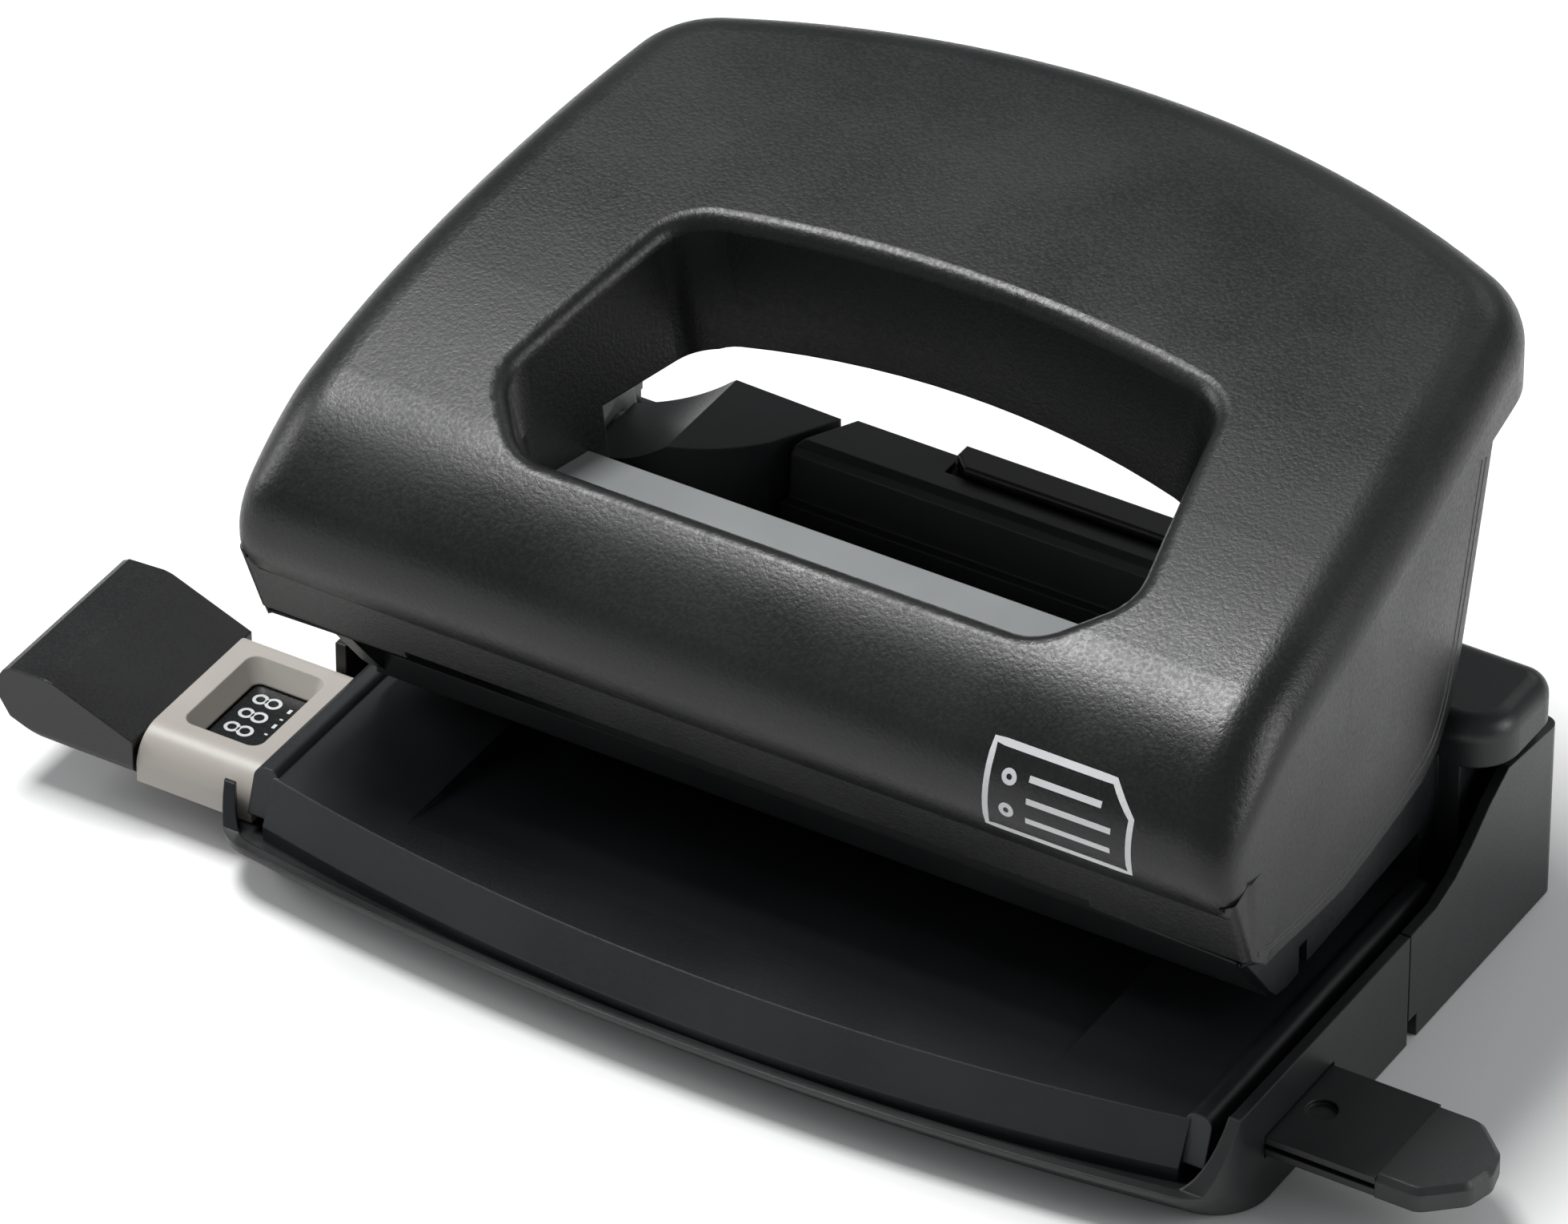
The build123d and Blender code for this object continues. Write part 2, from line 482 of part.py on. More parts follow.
# ---- handle frame: ledge bar, ears on the axle and press noses over the pins
nose_r, nose_y = 3.5, pivot_y - 18.2
nose_z = pin_top + nose_r + 0.2
ear = prism([(-20.0, 40.4), (-20.0, 42.4), (0.0, 45.6), (12.0, 47.0), (14.6, 53.8), (26.0, 53.8), (25.0, 44.0),
             (24.6, 36.0), (26.0, 30.0), (28.8, 27.0), (29.8, 23.4), (28.6, 20.6), (26.0, 19.4), (22.4, 20.6),
             (20.6, 24.0), (17.0, 33.0), (8.0, 36.6)], ear_in, ear_out)
ear += cross_rod(nose_y, nose_z, ear_in - 9.4, ear_out, nose_r)
ear += block(ear_in - 8.0, ear_out, 16.0, 25.6, 52.3, 53.8)
ear -= cross_rod(pivot_y, pivot_z, 30, 60, axle_r + running)
frame = block(-ear_out, ear_out, -20.6, -1.4, 40.7, 42.3)
for piece in both_sides(ear):
    frame += piece
for bx, by, z0, _ in bosses:
    for side in (1, -1):
        frame -= rod(side * bx, by, z0 - 4, z0 + 4, 1.3)
frame = frame.solids().sort_by(SortBy.VOLUME)[-1]
finish(Part(frame.wrapped), "handle_frame")

handle_screws = []
for bx, by, z0, _ in bosses:
    seat_z = z0 - 1.8
    for side in (1, -1):
        screw = rod(side * bx, by, seat_z, z0 + 6.0 - 3.0 * (z0 > 50), 1.1)
        screw += rod(side * bx, by, seat_z - 1.6, seat_z - 0.05, 2.2)
        handle_screws.append(screw)
finish(Compound(children=handle_screws), "handle_screws")

# ---- paper guide: bar, printed strip, end cap, stop
bar_left, bar_step, bar_right = -68.0, 26.0, 69.0
bar = block(bar_left, bar_step, bar_wide_y0, bar_y1, bar_z0, bar_z1)
bar += block(bar_step - 1, bar_right, bar_y0, bar_y1, bar_z0, bar_z1)
bar -= rod(59.7, -16.0, bar_z1 - 0.5, bar_z1 + 1, 1.55)
bar -= block(30, bar_right + 1, bar_y0 - 1, bar_y0 + 0.9, bar_z0 + 0.8, bar_z0 + 1.4)
finish(Part(bar.wrapped), "guide_bar")
strip = block(-64.0, 24.0, bar_wide_y0 + 0.4, bar_y1 - 1.0, bar_z1, bar_z1 + 0.15)
finish(Part(strip.wrapped), "format_strip")

cap_tip = bar_right + 9.2
bar_mid = (bar_y0 + bar_y1) / 2
with BuildPart() as cap_end:
    with BuildSketch(Plane.XY.offset(bar_z0 - 0.15)):
        with BuildLine():
            Polyline((bar_right, bar_y1), (cap_tip - 4.6, bar_y1), (cap_tip - 0.8, bar_y1 - 3.4), (cap_tip, bar_mid),
                     (cap_tip - 0.8, bar_y0 + 3.4), (cap_tip - 4.6, bar_y0), (bar_right, bar_y0), close=True)
        make_face()
        fillet(vertices().filter_by_position(Axis.X, bar_right + 1, 90), radius=2.0)
    extrude(amount=bar_thick + 0.35)
    chamfer(cap_end.edges().group_by(Axis.Z)[-1].filter_by_position(Axis.X, bar_right + 0.5, 90), length=0.6)
finish(cap_end.part, "bar_end_cap")

stop_y0, stop_y1 = -28.2, -6.6
stop_side = [(bar_left, bar_z0), (bar_left, 9.7), (-77.8, 13.5), (-83.0, 13.2), (-84.6, 10.6), (-82.6, 7.4),
             (-78.0, bar_z0)]
with BuildPart() as stop:
    with BuildSketch(Plane.XZ.offset(-stop_y1)):
        with BuildLine():
            Polyline(*stop_side, close=True)
        make_face()
    extrude(amount=stop_y1 - stop_y0)
    fillet(stop.edges().filter_by(Axis.Y).group_by(Axis.X)[0], radius=1.2)
    chamfer(stop.edges().filter_by(Axis.Y).filter_by_position(Axis.Z, 13.1, 13.6), length=0.5)
    fillet(stop.edges().filter_by(Axis.X).group_by(Axis.Y)[0].group_by(Axis.Z)[0], radius=1.2)
finish(stop.part, "guide_stop")

# ---- window frame around the printed strip
win_x0, win_x1, frame_top = -67.7, -54.2, 10.4
window = block(win_x0, win_x1, frame_y0, frame_y1, frame_z0, frame_top)
window = fillet(window.edges().filter_by(Axis.X).group_by(Axis.Z)[-1].sort_by(Axis.Y)[0], radius=3.6)
window = fillet(window.edges().filter_by(Axis.X).group_by(Axis.Z)[-1].sort_by(Axis.Y)[-1], radius=1.2)
view_x, view_y = (-63.6, -56.8), (-22.9, -12.3)    # opening over the strip
view_mid = (sum(view_x) / 2, sum(view_y) / 2)
view_w, view_d = view_x[1] - view_x[0], view_y[1] - view_y[0]
with BuildPart() as view_cut:
    with BuildSketch(Plane.XY.offset(slot_z1 - 1)) as view_low:
        with Locations(view_mid):
            RectangleRounded(view_w, view_d, 0.8)
    with BuildSketch(Plane.XY.offset(frame_top + 0.2)) as view_high:
        with Locations((view_mid[0] - 0.7, view_mid[1] + 0.8)):
            RectangleRounded(view_w + 2.4, view_d + 2.6, 1.4)
    loft()
window -= block(win_x0 - 1, win_x1 + 1, bar_wide_y0 - gap, bar_y1 + gap, frame_z0 - 1, slot_z1)
window -= view_cut.part
finish(Part(window.wrapped), "window_frame")

# ---- detent spring under the bar
with BuildPart() as leaf:
    with BuildSketch(Plane.XZ.offset(18.0)):
        with BuildLine():
            ThreePointArc((30.0, 2.2), (38.0, 4.6), (46.0, 2.2))
            Line((46.0, 2.2), (46.0, 1.7))
            ThreePointArc((46.0, 1.7), (38.0, 4.1), (30.0, 1.7))
            Line((30.0, 1.7), (30.0, 2.2))
        make_face()
    extrude(amount=-4)
finish(leaf.part, "detent_spring")

# ---- latch spring in the rear cover's pocket, behind the latch lug
latch_coil_len = 3.0
path = Helix(pitch=0.72, height=latch_coil_len - 0.4, radius=1.0)
with BuildPart() as latch_coil:
    with BuildSketch(Plane(origin=path @ 0, z_dir=path % 0)):
        Circle(0.18)
    sweep(path=path, is_frenet=True)
finish(Pos(0, 31.2, cover_top - 2.3) * Rot(90, 0, 0) * latch_coil.part, "latch_spring")
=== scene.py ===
"""Looks of a two-hole desk punch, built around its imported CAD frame. Blender 4.5, metres."""
import math

import bpy
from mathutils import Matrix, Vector
from mathutils.bvhtree import BVHTree


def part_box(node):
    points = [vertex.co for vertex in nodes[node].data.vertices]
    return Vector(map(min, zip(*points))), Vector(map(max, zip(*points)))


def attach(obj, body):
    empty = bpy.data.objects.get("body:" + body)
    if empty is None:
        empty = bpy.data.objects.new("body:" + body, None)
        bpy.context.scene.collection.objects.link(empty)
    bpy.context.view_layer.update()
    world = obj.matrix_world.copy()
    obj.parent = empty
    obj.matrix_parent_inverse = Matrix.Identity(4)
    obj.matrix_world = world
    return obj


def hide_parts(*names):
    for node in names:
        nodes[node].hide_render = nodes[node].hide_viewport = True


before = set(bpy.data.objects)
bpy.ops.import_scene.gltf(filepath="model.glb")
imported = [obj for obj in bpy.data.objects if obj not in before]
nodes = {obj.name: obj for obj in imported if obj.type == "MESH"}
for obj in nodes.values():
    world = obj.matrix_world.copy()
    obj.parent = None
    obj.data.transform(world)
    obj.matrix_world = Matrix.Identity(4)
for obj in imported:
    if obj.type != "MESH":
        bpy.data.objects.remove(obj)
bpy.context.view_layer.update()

MM = 0.001


# ---------------------------------------------------------------- materials

def new_material(name):
    """An empty node material with its shader and output."""
    mat = bpy.data.materials.new(name)
    mat.use_nodes = True
    tree = mat.node_tree
    tree.nodes.clear()
    out = tree.nodes.new("ShaderNodeOutputMaterial")
    shader = tree.nodes.new("ShaderNodeBsdfPrincipled")
    tree.links.new(shader.outputs["BSDF"], out.inputs["Surface"])
    return mat, tree, shader


def noise(tree, size, detail=2.0, rough=0.5, stretch=None):
    """Object-space noise with features of about the given size."""
    coord = tree.nodes.new("ShaderNodeTexCoord")
    tex = tree.nodes.new("ShaderNodeTexNoise")
    tex.inputs["Scale"].default_value = 1.0 / size
    tex.inputs["Detail"].default_value = detail
    tex.inputs["Roughness"].default_value = rough
    source = coord.outputs["Object"]
    if stretch:
        mapping = tree.nodes.new("ShaderNodeMapping")
        mapping.inputs["Scale"].default_value = stretch
        tree.links.new(source, mapping.inputs["Vector"])
        source = mapping.outputs["Vector"]
    tree.links.new(source, tex.inputs["Vector"])
    return tex.outputs["Fac"]


def remap(tree, value, low, high, start=0.35, end=0.65):
    """Maps a noise value from start..end to low..high."""
    node = tree.nodes.new("ShaderNodeMapRange")
    node.inputs["From Min"].default_value = start
    node.inputs["From Max"].default_value = end
    node.inputs["To Min"].default_value = low
    node.inputs["To Max"].default_value = high
    tree.links.new(value, node.inputs["Value"])
    return node.outputs["Result"]


def blend_colours(tree, factor, dark, light):
    """A colour that runs from dark to light with factor."""
    ramp = tree.nodes.new("ShaderNodeValToRGB")
    ramp.color_ramp.elements[0].position = 0.36
    ramp.color_ramp.elements[0].color = (*dark, 1)
    ramp.color_ramp.elements[1].position = 0.64
    ramp.color_ramp.elements[1].color = (*light, 1)
    tree.links.new(factor, ramp.inputs["Fac"])
    return ramp.outputs["Color"]


def bump_layers(tree, shader, layers, edge):
    """Bump from (height, depth, strength) layers over softly rounded edges."""
    rounded = tree.nodes.new("ShaderNodeBevel")
    rounded.samples = 4
    rounded.inputs["Radius"].default_value = edge
    normal = rounded.outputs["Normal"]
    for height, depth, strength in layers:
        bump = tree.nodes.new("ShaderNodeBump")
        bump.inputs["Distance"].default_value = depth
        bump.inputs["Strength"].default_value = strength
        tree.links.new(height, bump.inputs["Height"])
        tree.links.new(normal, bump.inputs["Normal"])
        normal = bump.outputs["Normal"]
    tree.links.new(normal, shader.inputs["Normal"])


def plastic(name, dark, light, rough, grain=0.45 * MM, depth=0.02 * MM, strength=0.6, edge=0.25 * MM,
            spread=0.05, specular=0.5):
    """Moulded plastic: eroded mould grain, faint flow marks and handling variation."""
    mat, tree, shader = new_material(name)
    cloud = noise(tree, 22 * MM, 3.0)
    fine = noise(tree, grain, 2.5, 0.6)
    tree.links.new(blend_colours(tree, cloud, dark, light), shader.inputs["Base Color"])
    mixed = tree.nodes.new("ShaderNodeMath")
    mixed.operation = "ADD"
    tree.links.new(remap(tree, cloud, rough - spread, rough + spread), mixed.inputs[0])
    tree.links.new(remap(tree, fine, -spread, spread), mixed.inputs[1])
    tree.links.new(mixed.outputs["Value"], shader.inputs["Roughness"])
    shader.inputs["Specular IOR Level"].default_value = specular
    ripple = noise(tree, 9 * MM, 1.0)
    bump_layers(tree, shader, [(ripple, 0.04 * MM, 0.25), (fine, depth, strength)], edge)
    return mat


def steel(name, tint, rough, stretch=(1, 1, 14)):
    """Ground or plated steel with drawn scratches and faint tarnish."""
    mat, tree, shader = new_material(name)
    tarnish = noise(tree, 5 * MM, 3.0)
    scratch = noise(tree, 0.9 * MM, 4.0, 0.7, stretch)
    dark = tuple(c * 0.72 for c in tint)
    tree.links.new(blend_colours(tree, tarnish, dark, tint), shader.inputs["Base Color"])
    tree.links.new(remap(tree, scratch, rough - 0.08, rough + 0.12), shader.inputs["Roughness"])
    shader.inputs["Metallic"].default_value = 1.0
    bump_layers(tree, shader, [(scratch, 0.006 * MM, 0.5)], 0.12 * MM)
    return mat


handle_plastic = plastic("handle_pebbled_black", (0.0046, 0.0050, 0.0051), (0.0066, 0.0070, 0.0071), 0.38,
                         grain=0.42 * MM, depth=0.045 * MM, strength=0.9, specular=0.38)
side_line_plastic = plastic("handle_line_grey", (0.030, 0.031, 0.029), (0.038, 0.039, 0.037), 0.45,
                            grain=0.30 * MM, depth=0.006 * MM, strength=0.3)
deck_plastic = plastic("deck_charcoal", (0.0058, 0.0070, 0.0084), (0.0080, 0.0094, 0.0110), 0.42,
                       grain=0.28 * MM, depth=0.010 * MM, strength=0.5)
tray_plastic = plastic("tray_charcoal", (0.0046, 0.0053, 0.0060), (0.0066, 0.0073, 0.0080), 0.38,
                       grain=0.25 * MM, depth=0.006 * MM, strength=0.4)
housing_plastic = plastic("housing_charcoal", (0.0054, 0.0064, 0.0072), (0.0074, 0.0084, 0.0094), 0.40,
                          grain=0.30 * MM, depth=0.009 * MM, strength=0.5)
guide_plastic = plastic("guide_black", (0.0020, 0.0022, 0.0025), (0.0032, 0.0035, 0.0038), 0.34,
                        grain=0.30 * MM, depth=0.006 * MM, strength=0.4)
tongue_plastic = plastic("tongue_charcoal", (0.0048, 0.0055, 0.0062), (0.0066, 0.0075, 0.0085), 0.42,
                         grain=0.28 * MM, depth=0.008 * MM, strength=0.5)
cap_plastic = plastic("tongue_end_grey", (0.0120, 0.0130, 0.0136), (0.0160, 0.0170, 0.0176), 0.45,
                      grain=0.28 * MM, depth=0.008 * MM, strength=0.5)
window_plastic = plastic("window_warm_grey", (0.34, 0.315, 0.285), (0.39, 0.365, 0.335), 0.42,
                         grain=0.22 * MM, depth=0.006 * MM, strength=0.35, spread=0.04)
# Painted light: the ledge inside the opening is the handle's black plastic; its light grey colour is painted
# light standing in for the light it catches from above
ledge_painted_light = plastic("ledge_grey_painted_light", (0.185, 0.195, 0.195), (0.225, 0.235, 0.235), 0.48,
                        grain=0.30 * MM, depth=0.010 * MM, strength=0.4)
strip_plastic = plastic("strip_black_film", (0.0016, 0.0024, 0.0026), (0.0024, 0.0034, 0.0036), 0.28,
                        grain=0.50 * MM, depth=0.002 * MM, strength=0.2)
bush_plastic = plastic("bush_grey_acetal", (0.045, 0.045, 0.048), (0.060, 0.060, 0.064), 0.36,
                       grain=0.25 * MM, depth=0.004 * MM, strength=0.3)
ink = plastic("silver_ink", (0.52, 0.53, 0.54), (0.64, 0.65, 0.66), 0.42, grain=0.12 * MM, depth=0.003 * MM,
              strength=0.4, edge=0.02 * MM)
digit_ink = plastic("pale_ink", (0.50, 0.52, 0.52), (0.60, 0.62, 0.62), 0.5, grain=0.12 * MM, depth=0.003 * MM,
                    strength=0.4, edge=0.02 * MM)
bright_steel = steel("bright_steel", (0.62, 0.62, 0.63), 0.24)
ground_steel = steel("ground_steel", (0.45, 0.46, 0.47), 0.32, (1, 12, 1))
spring_steel = steel("spring_steel", (0.55, 0.55, 0.57), 0.28, (6, 6, 6))
zinc_steel = steel("zinc_steel", (0.60, 0.61, 0.60), 0.34, (4, 4, 4))
dark_steel = steel("dark_steel", (0.30, 0.30, 0.32), 0.35, (4, 4, 4))

FINISHES = {
    "handle_shell": handle_plastic, "handle_frame": ledge_painted_light, "handle_screws": zinc_steel,
    "punch_housing": housing_plastic, "deck": deck_plastic, "base_tray": tray_plastic, "chip_door": tray_plastic,
    "door_hinge_pins": bright_steel, "die_plates": ground_steel, "die_screws": zinc_steel,
    "housing_screws": zinc_steel, "rear_cover": housing_plastic, "hinge_cover_left": housing_plastic,
    "hinge_cover_right": housing_plastic, "tray_latch": guide_plastic, "latch_spring": spring_steel,
    "hinge_axle": ground_steel, "axle_washers": bright_steel, "guide_bush_left": bush_plastic,
    "guide_bush_right": bush_plastic, "punch_pin_left": bright_steel, "punch_pin_right": bright_steel,
    "pin_retainer_left": dark_steel, "pin_retainer_right": dark_steel, "return_spring_left": spring_steel,
    "return_spring_right": spring_steel, "guide_bar": tongue_plastic, "format_strip": strip_plastic,
    "bar_end_cap": cap_plastic, "guide_stop": guide_plastic, "window_frame": window_plastic,
    "detent_spring": spring_steel,
}
for node_name, finish in FINISHES.items():
    mesh = nodes[node_name].data
    mesh.materials.clear()
    mesh.materials.append(finish)


# ---------------------------------------------------------------- surface helpers

def surface_of(node):
    """A ray target made of one CAD node."""
    mesh = nodes[node].data
    return BVHTree.FromPolygons([v.co.copy() for v in mesh.vertices], [p.vertices[:] for p in mesh.polygons])


def add_piece(name, verts, faces, material, body, slot, smooth=True):
    """A mesh object riding on a body."""
    mesh = bpy.data.meshes.new(name)
    mesh.from_pydata([tuple(v) for v in verts], [], faces)
    mesh.validate()
    mesh.materials.append(material)
    for poly in mesh.polygons:
        poly.use_smooth = smooth
    obj = bpy.data.objects.new(name, mesh)
    bpy.context.scene.collection.objects.link(obj)
    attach(obj, body)
    return obj


def sweep_open(sections):
    """Vertices and faces of a capped run of equal closed sections."""
    n, m = len(sections), len(sections[0])
    verts = [p for section in sections for p in section]
    faces = [tuple(range(m - 1, -1, -1)), tuple((n - 1) * m + k for k in range(m))]
    for i in range(n - 1):
        for k in range(m):
            after = (k + 1) % m
            faces.append((i * m + k, (i + 1) * m + k, (i + 1) * m + after, i * m + after))
    return verts, faces


# ---------------------------------------------------------------- handle skin with tightening corner rounding

ROLL = 5.6 * MM            # rounding of the CAD handle's long edges
TIGHT_BELOW = 0.031        # height at which the front corners are at their sharpest
FULL_ABOVE = 0.050         # height from which they keep the whole rounding
SHARPEST = 6.5             # exponent of the corner's curve at its sharpest; 2 is a circle
CIRCLE = 2
FRONT_ZONE = -0.008        # only points in front of this y are moved
INNER_X = 0.047            # nor points nearer the middle than this
PROFILE_X = 0.044          # where the front's outer line is taken
REACH_Z = 0.0345           # height at which the half width is taken
REACH_Y = -0.020           # and the furthest forward that it is taken
THINNEST, THICKEST = 0.8, 1.08     # share of the rounding's radius that counts as its outer skin

shell_tree = surface_of("handle_shell")


def front_profile(x):
    """The handle's outer line in a plane across X, from its chin up over the brow, as (y, z) points."""
    centre = Vector((x, 0.002, 0.026))
    line = []
    for step in range(121):
        angle = math.radians(185 - step * 1.05)
        way = Vector((0, math.cos(angle), math.sin(angle)))
        hit = shell_tree.ray_cast(centre + way * 0.2, -way)[0]
        if hit is not None:
            line.append(hit)
    return line


def side_reach(y, z):
    """Half width of the handle at one place on its side."""
    hit = shell_tree.ray_cast(Vector((0.2, y, z)), Vector((-1, 0, 0)))[0]
    return None if hit is None else hit.x


def nearest_on(line, point):
    """Closest point of a polyline in YZ to a point, and the outward normal there."""
    best = None
    for p, q in zip(line, line[1:]):
        run = Vector((0, q.y - p.y, q.z - p.z))
        rel = Vector((0, point.y - p.y, point.z - p.z))
        t = min(1.0, max(0.0, rel.dot(run) / max(run.length_squared, 1e-12)))
        foot = Vector((0, p.y + run.y * t, p.z + run.z * t))
        gap = (Vector((0, point.y, point.z)) - foot).length
        if best is None or gap < best[0]:
            best = (gap, foot, Vector((0, -run.z, run.y)).normalized())
    return best


def handle_skin():
    """A copy of the handle shell whose front corners tighten towards the chin."""
    obj = nodes["handle_shell"].copy()
    obj.data = nodes["handle_shell"].data.copy()
    obj.name = obj.data.name = "handle_skin"
    bpy.context.scene.collection.objects.link(obj)
    profile = front_profile(PROFILE_X)
    reach = {}
    for v in obj.data.vertices:
        co = v.co
        if co.y > FRONT_ZONE or co.z > FULL_ABOVE + 2 * MM or abs(co.x) < INNER_X:
            continue
        key = round(co.y, 4)
        if key not in reach:
            reach[key] = side_reach(max(co.y, REACH_Y), REACH_Z)
        width = reach[key]
        depth, foot, normal = nearest_on(profile, co)
        side = 1 if co.x > 0 else -1
        u = width - abs(co.x)
        a, b = (ROLL - u) / ROLL, (ROLL - depth) / ROLL
        radius = math.hypot(a, b)
        if a <= 0 or b <= 0 or radius < THINNEST or radius > THICKEST:
            continue
        share = min(1.0, max(0.0, (co.z - TIGHT_BELOW) / (FULL_ABOVE - TIGHT_BELOW)))
        share = share * share * (3 - 2 * share)
        power = SHARPEST + (CIRCLE - SHARPEST) * share
        ca, cb = a / radius, b / radius
        grow = 1 / (ca ** power + cb ** power) ** (1 / power)
        v.co = co + Vector((side, 0, 0)) * a * (grow - 1) * ROLL + normal * b * (grow - 1) * ROLL
    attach(obj, "handle")
    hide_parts("handle_shell")
    return obj


skin = handle_skin()
skin_tree = BVHTree.FromPolygons([v.co.copy() for v in skin.data.vertices],
                                 [p.vertices[:] for p in skin.data.polygons])

# ---------------------------------------------------------------- handle: side lines, printed symbol


def smooth_line(points, rounds=3):
    """Corner-cut polyline with its ends kept."""
    for _ in range(rounds):
        cut = [points[0]]
        for p, q in zip(points, points[1:]):
            cut += [p * 0.75 + q * 0.25, p * 0.25 + q * 0.75]
        points = cut + [points[-1]]
    return points


def side_line(side, rise, name):
    """Fine raised line on the side wall, a set distance inside its lower and rear edge."""
    edge = [(-0.0220, 0.0282), (-0.0150, 0.0262), (-0.0040, 0.0245), (0.0140, 0.0248), (0.0182, 0.0262),
            (0.0213, 0.0294), (0.0236, 0.0345), (0.0300, 0.0533)]
    points = []
    for i, (y, z) in enumerate(edge):
        y0, z0 = edge[max(i - 1, 0)]
        y1, z1 = edge[min(i + 1, len(edge) - 1)]
        away = Vector((0, -(z1 - z0), y1 - y0)).normalized()
        grow = min(1.0, 0.25 + i * 0.25)
        points.append(Vector((0, y, z)) + away * rise * grow)
    sections = []
    line = smooth_line(points)
    for i, p in enumerate(line):
        q, r = line[max(i - 1, 0)], line[min(i + 1, len(line) - 1)]
        away = Vector((0, -(r.z - q.z), r.y - q.y)).normalized()
        hit = skin_tree.ray_cast(Vector((side * 0.2, p.y, p.z)), Vector((-side, 0, 0)))[0]
        if hit is None or abs(hit.x) < 0.045:
            continue
        out = Vector((side, 0, 0))
        section = [hit - out * 0.15 * MM - away * 0.16 * MM, hit + out * 0.01 * MM - away * 0.13 * MM,
                   hit + out * 0.06 * MM, hit + out * 0.01 * MM + away * 0.13 * MM,
                   hit - out * 0.15 * MM + away * 0.16 * MM]
        sections.append(section if side > 0 else section[::-1])
    return add_piece(name, *sweep_open(sections), side_line_plastic, "handle", "handle_shell")


for side, word in ((1, "right"), (-1, "left")):
    side_line(side, 1.5 * MM, f"handle_side_line_low_{word}")
    side_line(side, 2.7 * MM, f"handle_side_line_high_{word}")


def stroke(points, width, closed=False):
    """Flat ribbon along plan points: pairs of (left, right) points."""
    pairs = []
    count = len(points)
    for i, p in enumerate(points):
        q = points[i - 1] if closed or i else p
        r = points[(i + 1) % count] if closed or i < count - 1 else p
        along = (Vector(r) - Vector(q)).normalized()
        across = Vector((-along.y, along.x)) * width / 2
        pairs.append((Vector(p) + across, Vector(p) - across))
    return pairs


def ribbon_mesh(ribbons, place, thick):
    """Closed thin ribbons laid on a surface; place turns a plan point and a height into a point in space."""
    verts, faces = [], []
    for pairs, closed in ribbons:
        base = len(verts)
        for left, right in pairs:
            verts += [place(left, thick), place(right, thick), place(right, -thick), place(left, -thick)]
        count = len(pairs)
        for i in range(count if closed else count - 1):
            a, b = base + 4 * i, base + 4 * ((i + 1) % count)
            for k in range(4):
                after = (k + 1) % 4
                faces.append((a + k, a + after, b + after, b + k))
        if not closed:
            faces.append((base, base + 3, base + 2, base + 1))
            end = base + 4 * (count - 1)
            faces.append((end, end + 1, end + 2, end + 3))
    return verts, faces


def circle(cx, cy, r, count=28):
    """Points round a circle."""
    return [(cx + r * math.cos(2 * math.pi * i / count), cy + r * math.sin(2 * math.pi * i / count))
            for i in range(count)]


def straight(x0, y0, x1, y1, count=8):
    """Points along a line."""
    return [(x0 + (x1 - x0) * i / count, y0 + (y1 - y0) * i / count) for i in range(count + 1)]


def on_front(point, lift):
    """A point of the handle's front at x, z, raised off its surface."""
    hit, normal = skin_tree.ray_cast(Vector((point.x, -0.2, point.y)), Vector((0, 1, 0)))[:2]
    return hit + normal * (lift + 0.01 * MM if lift > 0 else lift)


def symbol():
    """Generic print on the handle's front: a sheet with two filing holes and lines of writing."""
    x0, z0, wide, tall = 29.5 * MM, 38.2 * MM, 15.5 * MM, 8.8 * MM
    line = 0.62 * MM
    corner = 2.6 * MM
    sheet = (straight(x0, z0, x0 + wide, z0, 16) + straight(x0 + wide, z0, x0 + wide, z0 + tall - corner, 6)[1:]
             + straight(x0 + wide, z0 + tall - corner, x0 + wide - corner, z0 + tall, 4)[1:]
             + straight(x0 + wide - corner, z0 + tall, x0, z0 + tall, 12)[1:]
             + straight(x0, z0 + tall, x0, z0, 8)[1:-1])
    ribbons = [(stroke(sheet, line, True), True)]
    for hole in (0.3, 0.7):
        ribbons.append((stroke(circle(x0 + 2.3 * MM, z0 + tall * hole, 0.55 * MM, 20), 0.5 * MM, True), True))
    for row, length in enumerate((8.2, 9.6, 9.6)):
        z = z0 + tall - (2.2 + 2.2 * row) * MM
        ribbons.append((stroke(straight(x0 + 4.4 * MM, z, x0 + (4.4 + length * 0.95) * MM, z, 10), line), False))
    verts, faces = ribbon_mesh(ribbons, on_front, 0.03 * MM)
    return add_piece("handle_printed_symbol", verts, faces, ink, "handle", "handle_shell", smooth=False)


symbol()

# ---------------------------------------------------------------- paper guide: format marks on the strip

strip_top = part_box("format_strip")[1].z


FIGURE_LINE = 0.36 * MM      # stroke width of the figures and their ticks
TICK_X = -58.75 * MM
MARK_PROUD = 0.015 * MM
MARK_SUNK = 0.02 * MM


def on_strip(point, lift):
    """A point on top of the format strip."""
    return Vector((point.x, point.y, strip_top + (MARK_PROUD if lift > 0 else -MARK_SUNK)))


def eight(x, y, ribbons):
    """The digit 8, its top towards -X, as two rings."""
    ribbons.append((stroke(circle(x, y, 0.66 * MM), FIGURE_LINE, True), True))
    ribbons.append((stroke(circle(x + 1.52 * MM, y, 0.72 * MM), FIGURE_LINE, True), True))


def format_marks():
    """The 888 format in the window, then rows of ticks for the shorter sheets."""
    ribbons = []
    for y in (-18.9, -16.3, -13.7):
        eight(-62.35 * MM, y * MM, ribbons)
    for y, length in ((-18.4, 0.25), (-17.1, 0.7), (-15.6, 0.25), (-14.3, 0.7)):
        short = straight(TICK_X, y * MM, TICK_X, (y + length) * MM, 2)
        ribbons.append((stroke(short, FIGURE_LINE), False))
    for x, ticks in ((-40, 3), (-16, 2), (8, 1)):
        for tick in range(ticks):
            place = (x + tick * 1.8) * MM
            ribbons.append((stroke(straight(place, -19.5 * MM, place, -14.0 * MM, 2), 0.5 * MM), False))
    verts, faces = ribbon_mesh(ribbons, on_strip, 0.02 * MM)
    return add_piece("format_marks", verts, faces, digit_ink, "paper_guide", "format_strip", smooth=False)


format_marks()

# ---------------------------------------------------------------- stage, light and camera


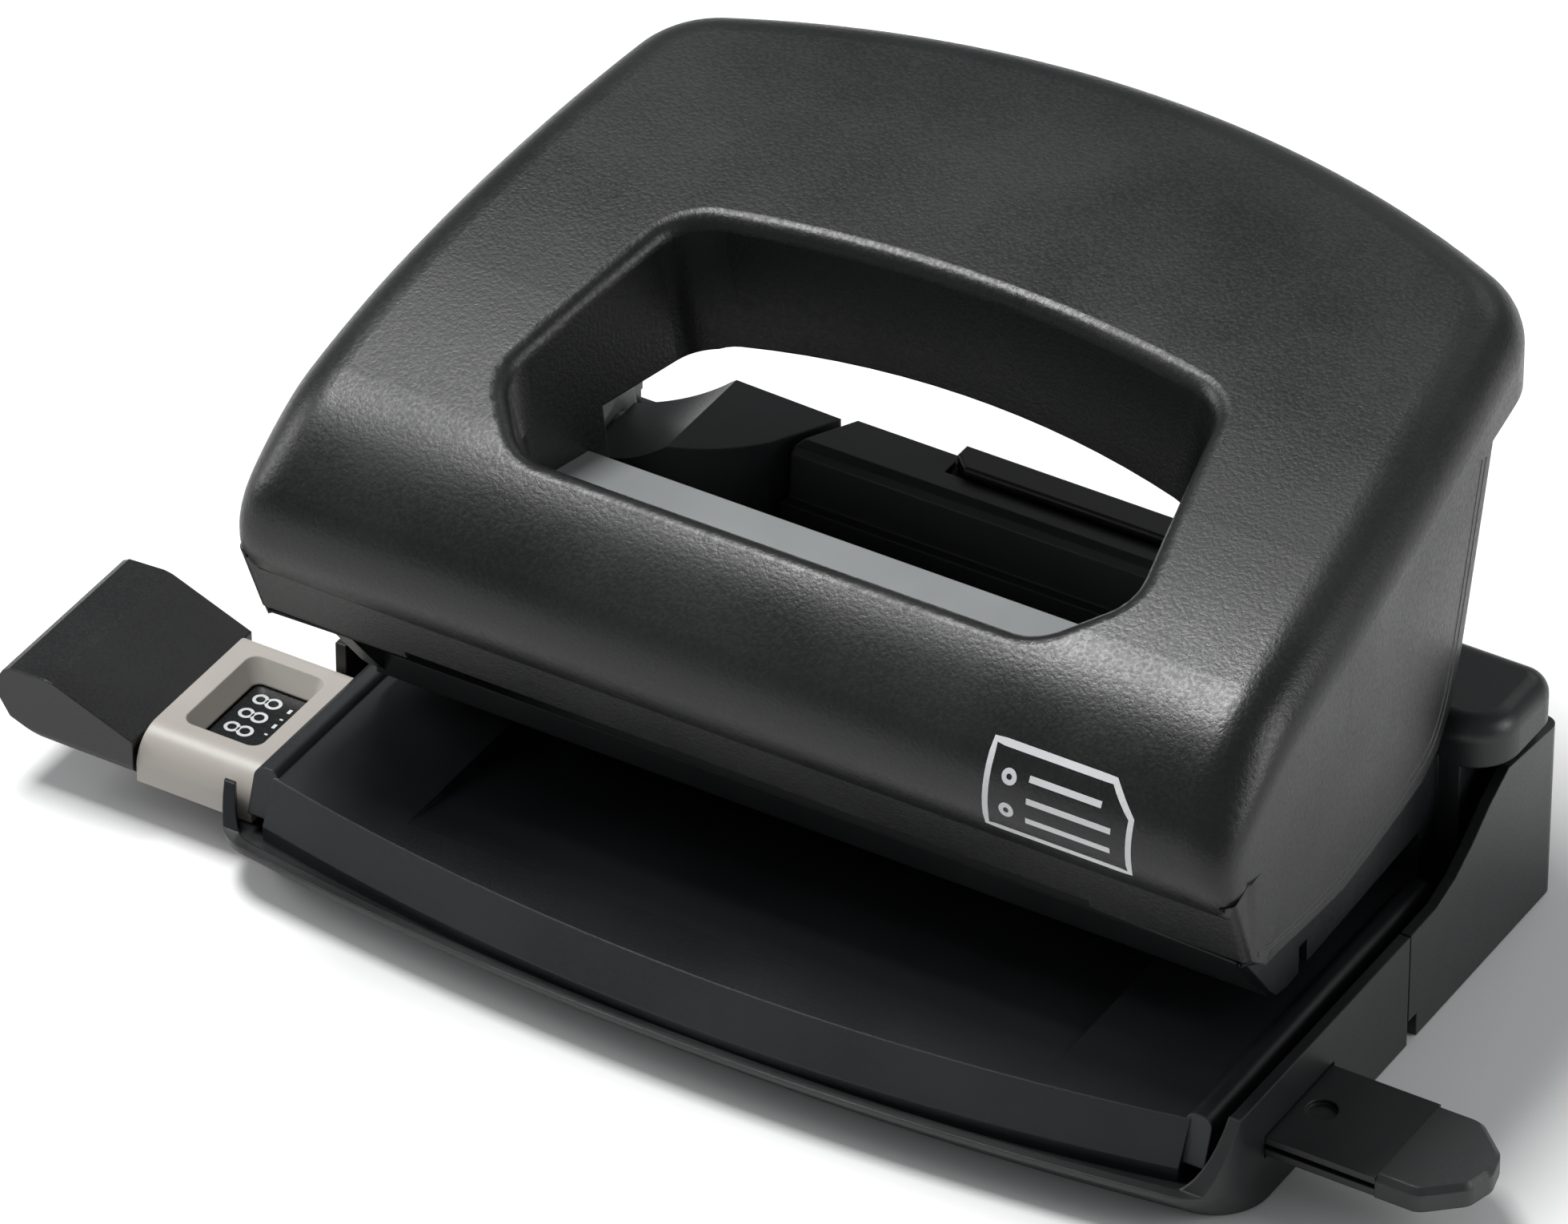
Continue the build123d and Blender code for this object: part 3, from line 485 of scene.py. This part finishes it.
def lamp(name, place, aim, size, power, colour=(1, 1, 1)):
    """A soft rectangular light aimed at a point."""
    data = bpy.data.lights.new(name, "AREA")
    data.shape = "RECTANGLE"
    data.size, data.size_y = size
    data.energy = power
    data.color = colour
    obj = bpy.data.objects.new(name, data)
    obj.location = place
    obj.rotation_euler = (Vector(aim) - Vector(place)).to_track_quat("-Z", "Y").to_euler()
    bpy.context.scene.collection.objects.link(obj)
    return obj


FLOOR_HALF = 6.0
FLOOR_DROP = 0.2 * MM
floor_mesh = bpy.data.meshes.new("floor")
floor_mesh.from_pydata([(-FLOOR_HALF, -FLOOR_HALF, 0), (FLOOR_HALF, -FLOOR_HALF, 0), (FLOOR_HALF, FLOOR_HALF, 0),
                        (-FLOOR_HALF, FLOOR_HALF, 0)], [], [(0, 1, 2, 3)])
floor = bpy.data.objects.new("floor", floor_mesh)
floor.location.z = -FLOOR_DROP
bpy.context.scene.collection.objects.link(floor)
floor_mat, floor_tree, floor_shader = new_material("pale_floor")
floor_tone = noise(floor_tree, 0.4, 2.0)
floor_tree.links.new(blend_colours(floor_tree, floor_tone, (0.80, 0.80, 0.80), (0.82, 0.82, 0.82)),
                     floor_shader.inputs["Base Color"])
floor_shader.inputs["Roughness"].default_value = 0.7
floor_shader.inputs["Specular IOR Level"].default_value = 0.1
floor_mesh.materials.append(floor_mat)

middle = (0, 0, 0.03)
lamp("brow_softbox", (-0.45, 0.05, 1.20), middle, (0.50, 0.30), 17)
lamp("left_softbox", (-1.10, -0.25, 0.55), middle, (0.4, 0.7), 6)
lamp("right_softbox", (1.10, 0.30, 0.45), middle, (0.4, 0.7), 5)
lamp("back_softbox", (0.10, 1.20, 0.90), middle, (0.9, 0.3), 1.6)

world = bpy.data.worlds.new("studio")
bpy.context.scene.world = world
world.use_nodes = True
world.node_tree.nodes["Background"].inputs["Color"].default_value = (0.95, 0.97, 1.0, 1)
world.node_tree.nodes["Background"].inputs["Strength"].default_value = 0.27
bpy.context.scene.view_settings.view_transform = "Standard"

camera_data = bpy.data.cameras.new("camera")
camera_data.lens = 289.5
camera_data.sensor_width = 36.0
camera_data.clip_start = 0.05
camera_data.clip_end = 50
camera = bpy.data.objects.new("camera", camera_data)
camera.location = (0.5023, -0.8467, 0.7559)
camera.rotation_euler = (math.radians(53.74), 0, math.radians(31.17))
bpy.context.scene.collection.objects.link(camera)
bpy.context.scene.camera = camera
